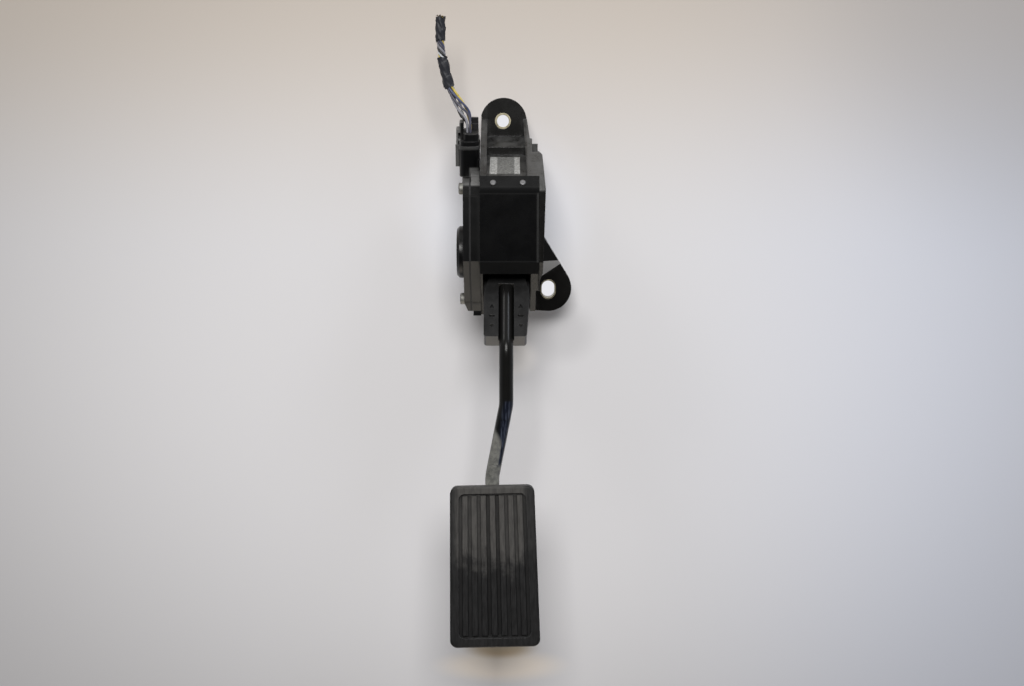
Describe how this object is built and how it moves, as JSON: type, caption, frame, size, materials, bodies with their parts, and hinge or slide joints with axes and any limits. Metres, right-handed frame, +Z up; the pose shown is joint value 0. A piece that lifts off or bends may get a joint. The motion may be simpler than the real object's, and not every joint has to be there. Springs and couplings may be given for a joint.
{
  "type": "accelerator pedal",
  "caption": "Car accelerator pedal: moulded housing with bolt lugs, sprung lever on a pivot, bent rod with a ribbed rubber foot pad, position sensor and a cut wiring tail.",
  "frame": {"origin": "on the axis of the upper bolt hole, in the flat mounting plane at the back", "axes": "+X to the driver's right, +Y away from the driver into the bulkhead, +Z up along the pedal"},
  "size_m": [0.0732, 0.084, 0.3294],
  "materials": {
    "housing_plastic": "semi-gloss black moulded nylon, finely grained",
    "cover_plastic": "semi-gloss black moulded nylon",
    "lever_plastic": "semi-gloss black glass-filled nylon, rubbed at the edges",
    "sensor_plastic": "satin black moulded plastic",
    "lid_plastic": "satin black moulded plastic",
    "plug_plastic": "satin black moulded plastic",
    "lock_plastic": "satin dark grey moulded plastic",
    "cup_plastic": "natural acetal, satin",
    "rotor_plastic": "dark grey moulded plastic",
    "board_green": "green solder mask",
    "seal_rubber": "matt black rubber",
    "stop_rubber": "matt black rubber",
    "pad_rubber": "black rubber, dusty and rubbed on the upper half",
    "rod_paint": "black enamel, glossy, rubbed in places",
    "plate_paint": "black enamel",
    "bolt_bush_zinc": "steel, yellow zinc plated",
    "axle_steel": "ground steel",
    "spring_steel": "oiled spring steel",
    "bearing_bronze": "sintered bronze",
    "magnet_grey": "dark grey sintered magnet",
    "pin_brass": "plated brass",
    "screw_steel": "zinc plated steel",
    "rivet_steel": "bright steel",
    "label_foil": "bare brushed aluminium",
    "tape_black": "black wound tape",
    "wire_grey": "grey insulation",
    "wire_yellow": "yellow insulation",
    "wire_blue": "blue insulation",
    "wire_white": "white insulation",
    "wire_black": "black insulation",
    "wire_violet": "violet insulation"
  },
  "bodies": {
    "base": {"housing": "housing_plastic", "upper_bolt_bush": "bolt_bush_zinc", "lower_bolt_bush": "bolt_bush_zinc", "front_cover": "cover_plastic", "cover_rivets": "rivet_steel", "label_plate": "label_foil", "left_axle_bush": "bearing_bronze", "right_axle_bush": "bearing_bronze", "rest_stop": "stop_rubber", "full_stop": "stop_rubber", "outer_spring": "spring_steel", "inner_spring": "spring_steel", "sensor_body": "sensor_plastic", "sensor_seal": "seal_rubber", "sensor_lid": "lid_plastic", "sensor_screws": "screw_steel", "sensor_board": "board_green", "terminal_pins": "pin_brass", "harness_plug": "plug_plastic", "plug_lock": "lock_plastic", "lower_tape": "tape_black", "upper_tape": "tape_black", "wire_1": "wire_grey", "wire_2": "wire_violet", "wire_3": "wire_black", "wire_4": "wire_blue", "wire_5": "wire_white", "wire_6": "wire_yellow"},
    "pedal": {"lever": "lever_plastic", "pivot_axle": "axle_steel", "pedal_rod": "rod_paint", "pad_plate": "plate_paint", "pad_rubber": "pad_rubber", "spring_cup": "cup_plastic", "sensor_rotor": "rotor_plastic", "rotor_magnets": "magnet_grey"}
  },
  "joints": [
    {"name": "pedal_pivot", "type": "hinge", "parent": "base", "child": "pedal", "pos_m": [0, -0.03, -0.0701], "axis": [1, 0, 0], "range_deg": [0, 16], "stiffness_Nm_per_rad": 11.5, "springref_deg": -16.04, "deforming": ["outer_spring", "inner_spring"]}
  ]
}
